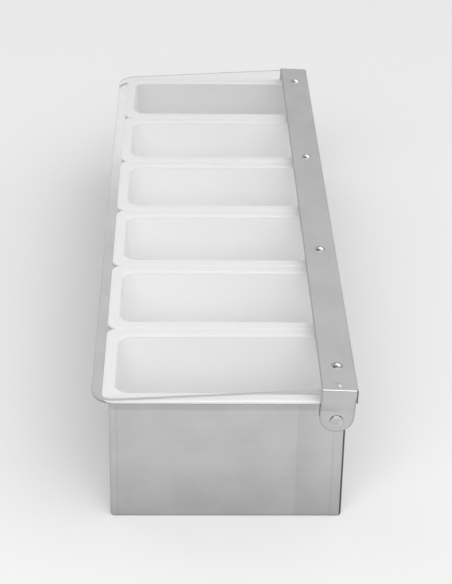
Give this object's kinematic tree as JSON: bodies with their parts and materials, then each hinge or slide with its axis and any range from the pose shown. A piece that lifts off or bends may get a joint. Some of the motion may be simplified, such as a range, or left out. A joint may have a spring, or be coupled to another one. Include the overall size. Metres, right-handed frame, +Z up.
{
  "type": "garnish tray",
  "caption": "Long folded steel box that holds a row of lift-out white plastic inserts for bar garnishes, under a clear lid on a riveted steel hinge strip.",
  "frame": {"origin": "middle of the box's flat underside", "axes": "+X along the tray to the right end, +Y from the front flange to the hinge, +Z up"},
  "size_m": [0.4944, 0.1521, 0.0908],
  "materials": {
    "box_steel": "brushed stainless",
    "strip_steel": "lengthwise brushed stainless",
    "stud_steel": "turned stainless",
    "rivet_metal": "polished dome",
    "insert_plastic": "satin translucent white",
    "clear_lid": "clear gloss"
  },
  "bodies": {
    "tray": {"body_wrap": "box_steel", "end_panel_right": "box_steel", "end_panel_left": "box_steel", "pivot_stud_right": "stud_steel", "pivot_stud_left": "stud_steel", "stud_washer_right": "stud_steel", "stud_washer_left": "stud_steel", "insert_1": "insert_plastic", "insert_2": "insert_plastic", "insert_3": "insert_plastic", "insert_4": "insert_plastic", "insert_5": "insert_plastic", "insert_6": "insert_plastic"},
    "lid": {"lid_panel": "clear_lid", "hinge_strip": "strip_steel", "lid_rivets": "rivet_metal", "rivet_washers": "stud_steel"}
  },
  "joints": [
    {"name": "lid_hinge", "type": "hinge", "parent": "tray", "child": "lid", "pos_m": [0, 0.0622, 0.0674], "axis": [-1, 0, 0], "range_deg": [0, 115]}
  ]
}
